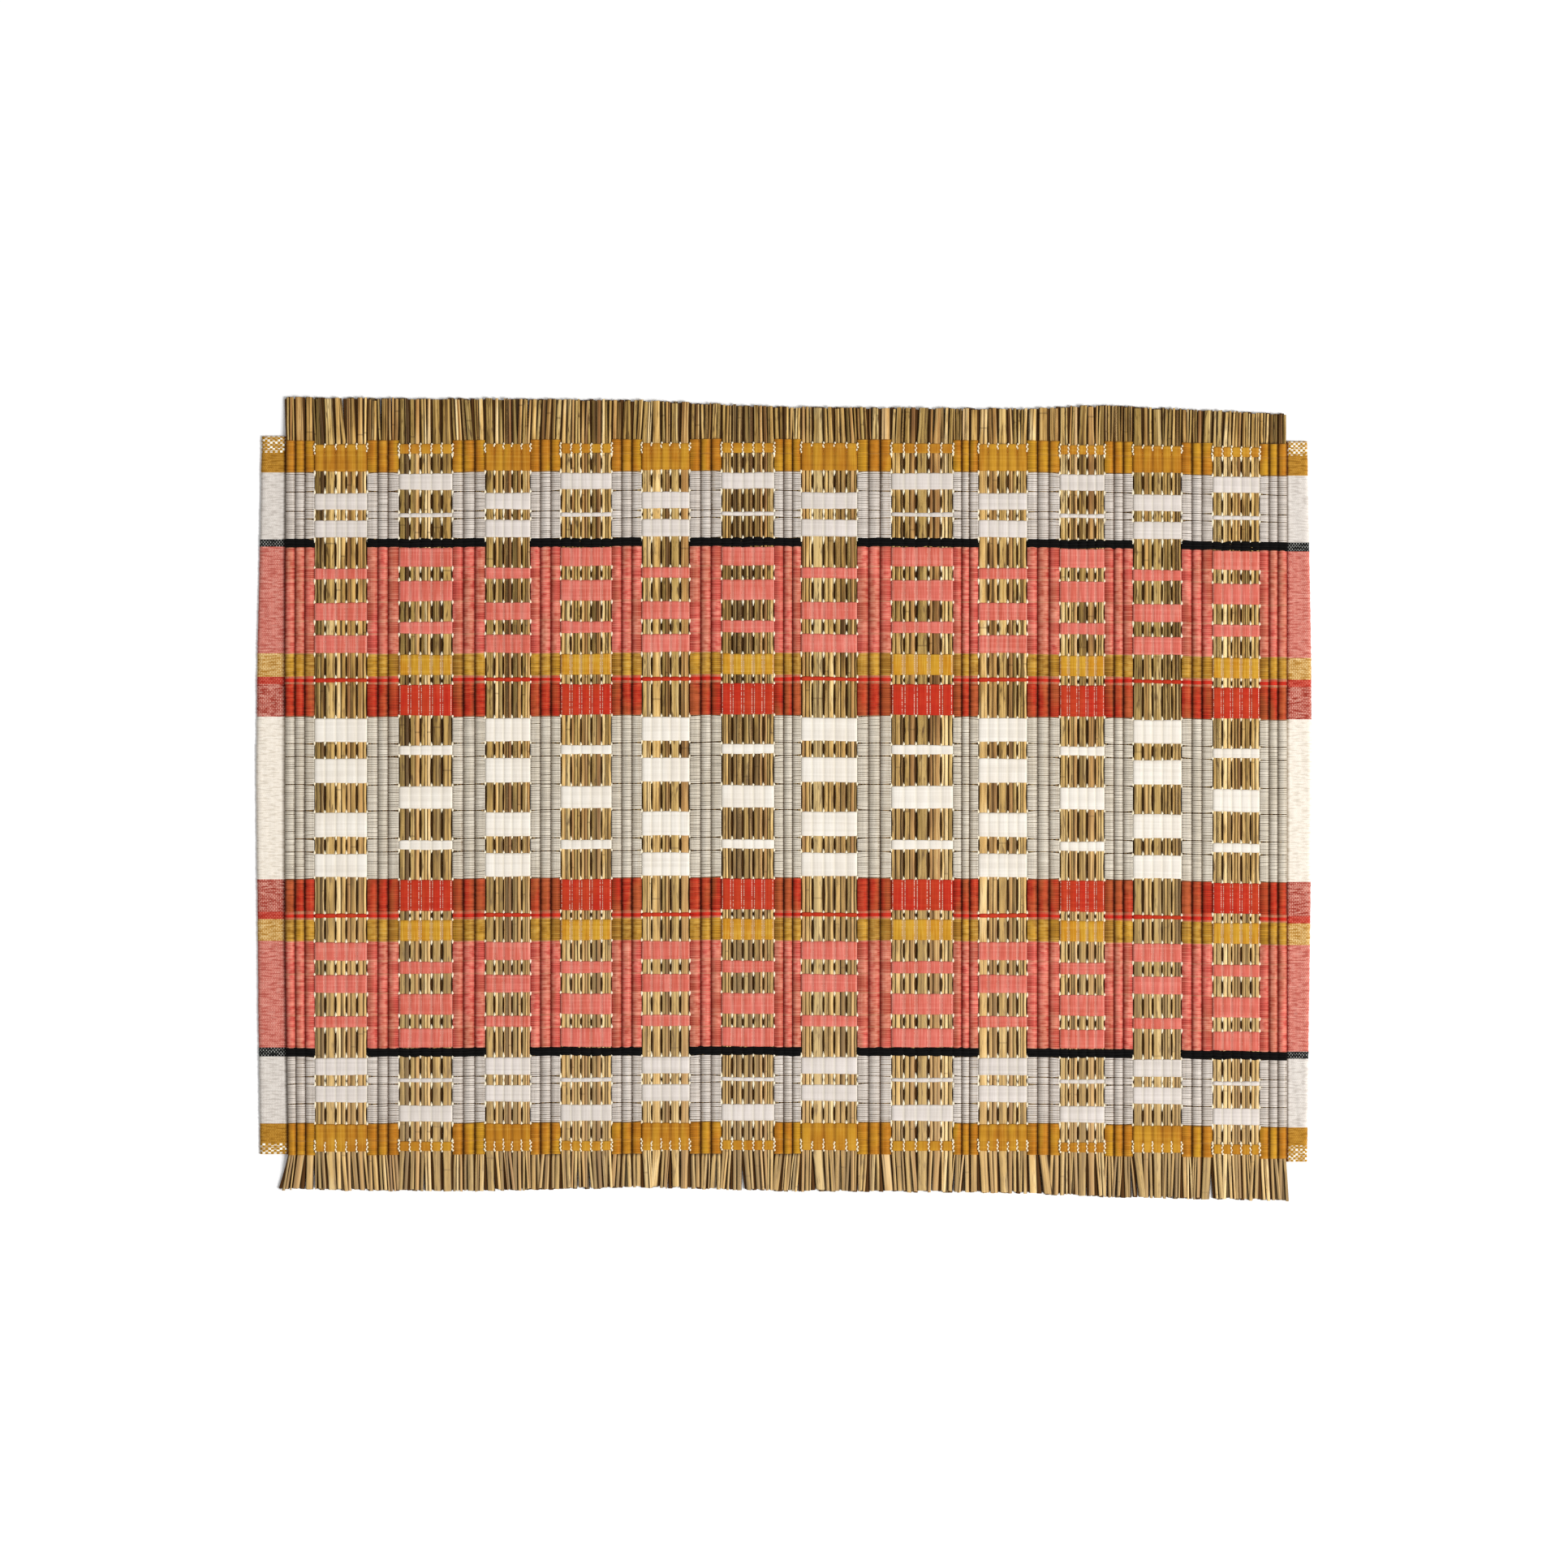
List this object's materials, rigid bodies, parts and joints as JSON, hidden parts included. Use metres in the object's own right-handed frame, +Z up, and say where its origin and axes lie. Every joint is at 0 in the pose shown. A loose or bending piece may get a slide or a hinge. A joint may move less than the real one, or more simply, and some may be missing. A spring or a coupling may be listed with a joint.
{
  "type": "placemat",
  "caption": "Flat woven placemat: striped cotton over bundles of split reed that rib it across, with plain hemmed ends and cut reed ends along both long edges.",
  "frame": {"origin": "middle of the mat's footprint, on the table", "axes": "+X along the mat towards its right-hand hem, +Y across it towards its back long edge, +Z up from the table"},
  "size_m": [0.5022, 0.3828, 0.003],
  "materials": {
    "cotton": "matte handloom weave in stripes",
    "reed": "dry split reed with a low sheen"
  },
  "bodies": {
    "root": {"woven_mat": "cotton", "reed_ends_back": "reed", "reed_ends_front": "reed"}
  },
  "joints": []
}
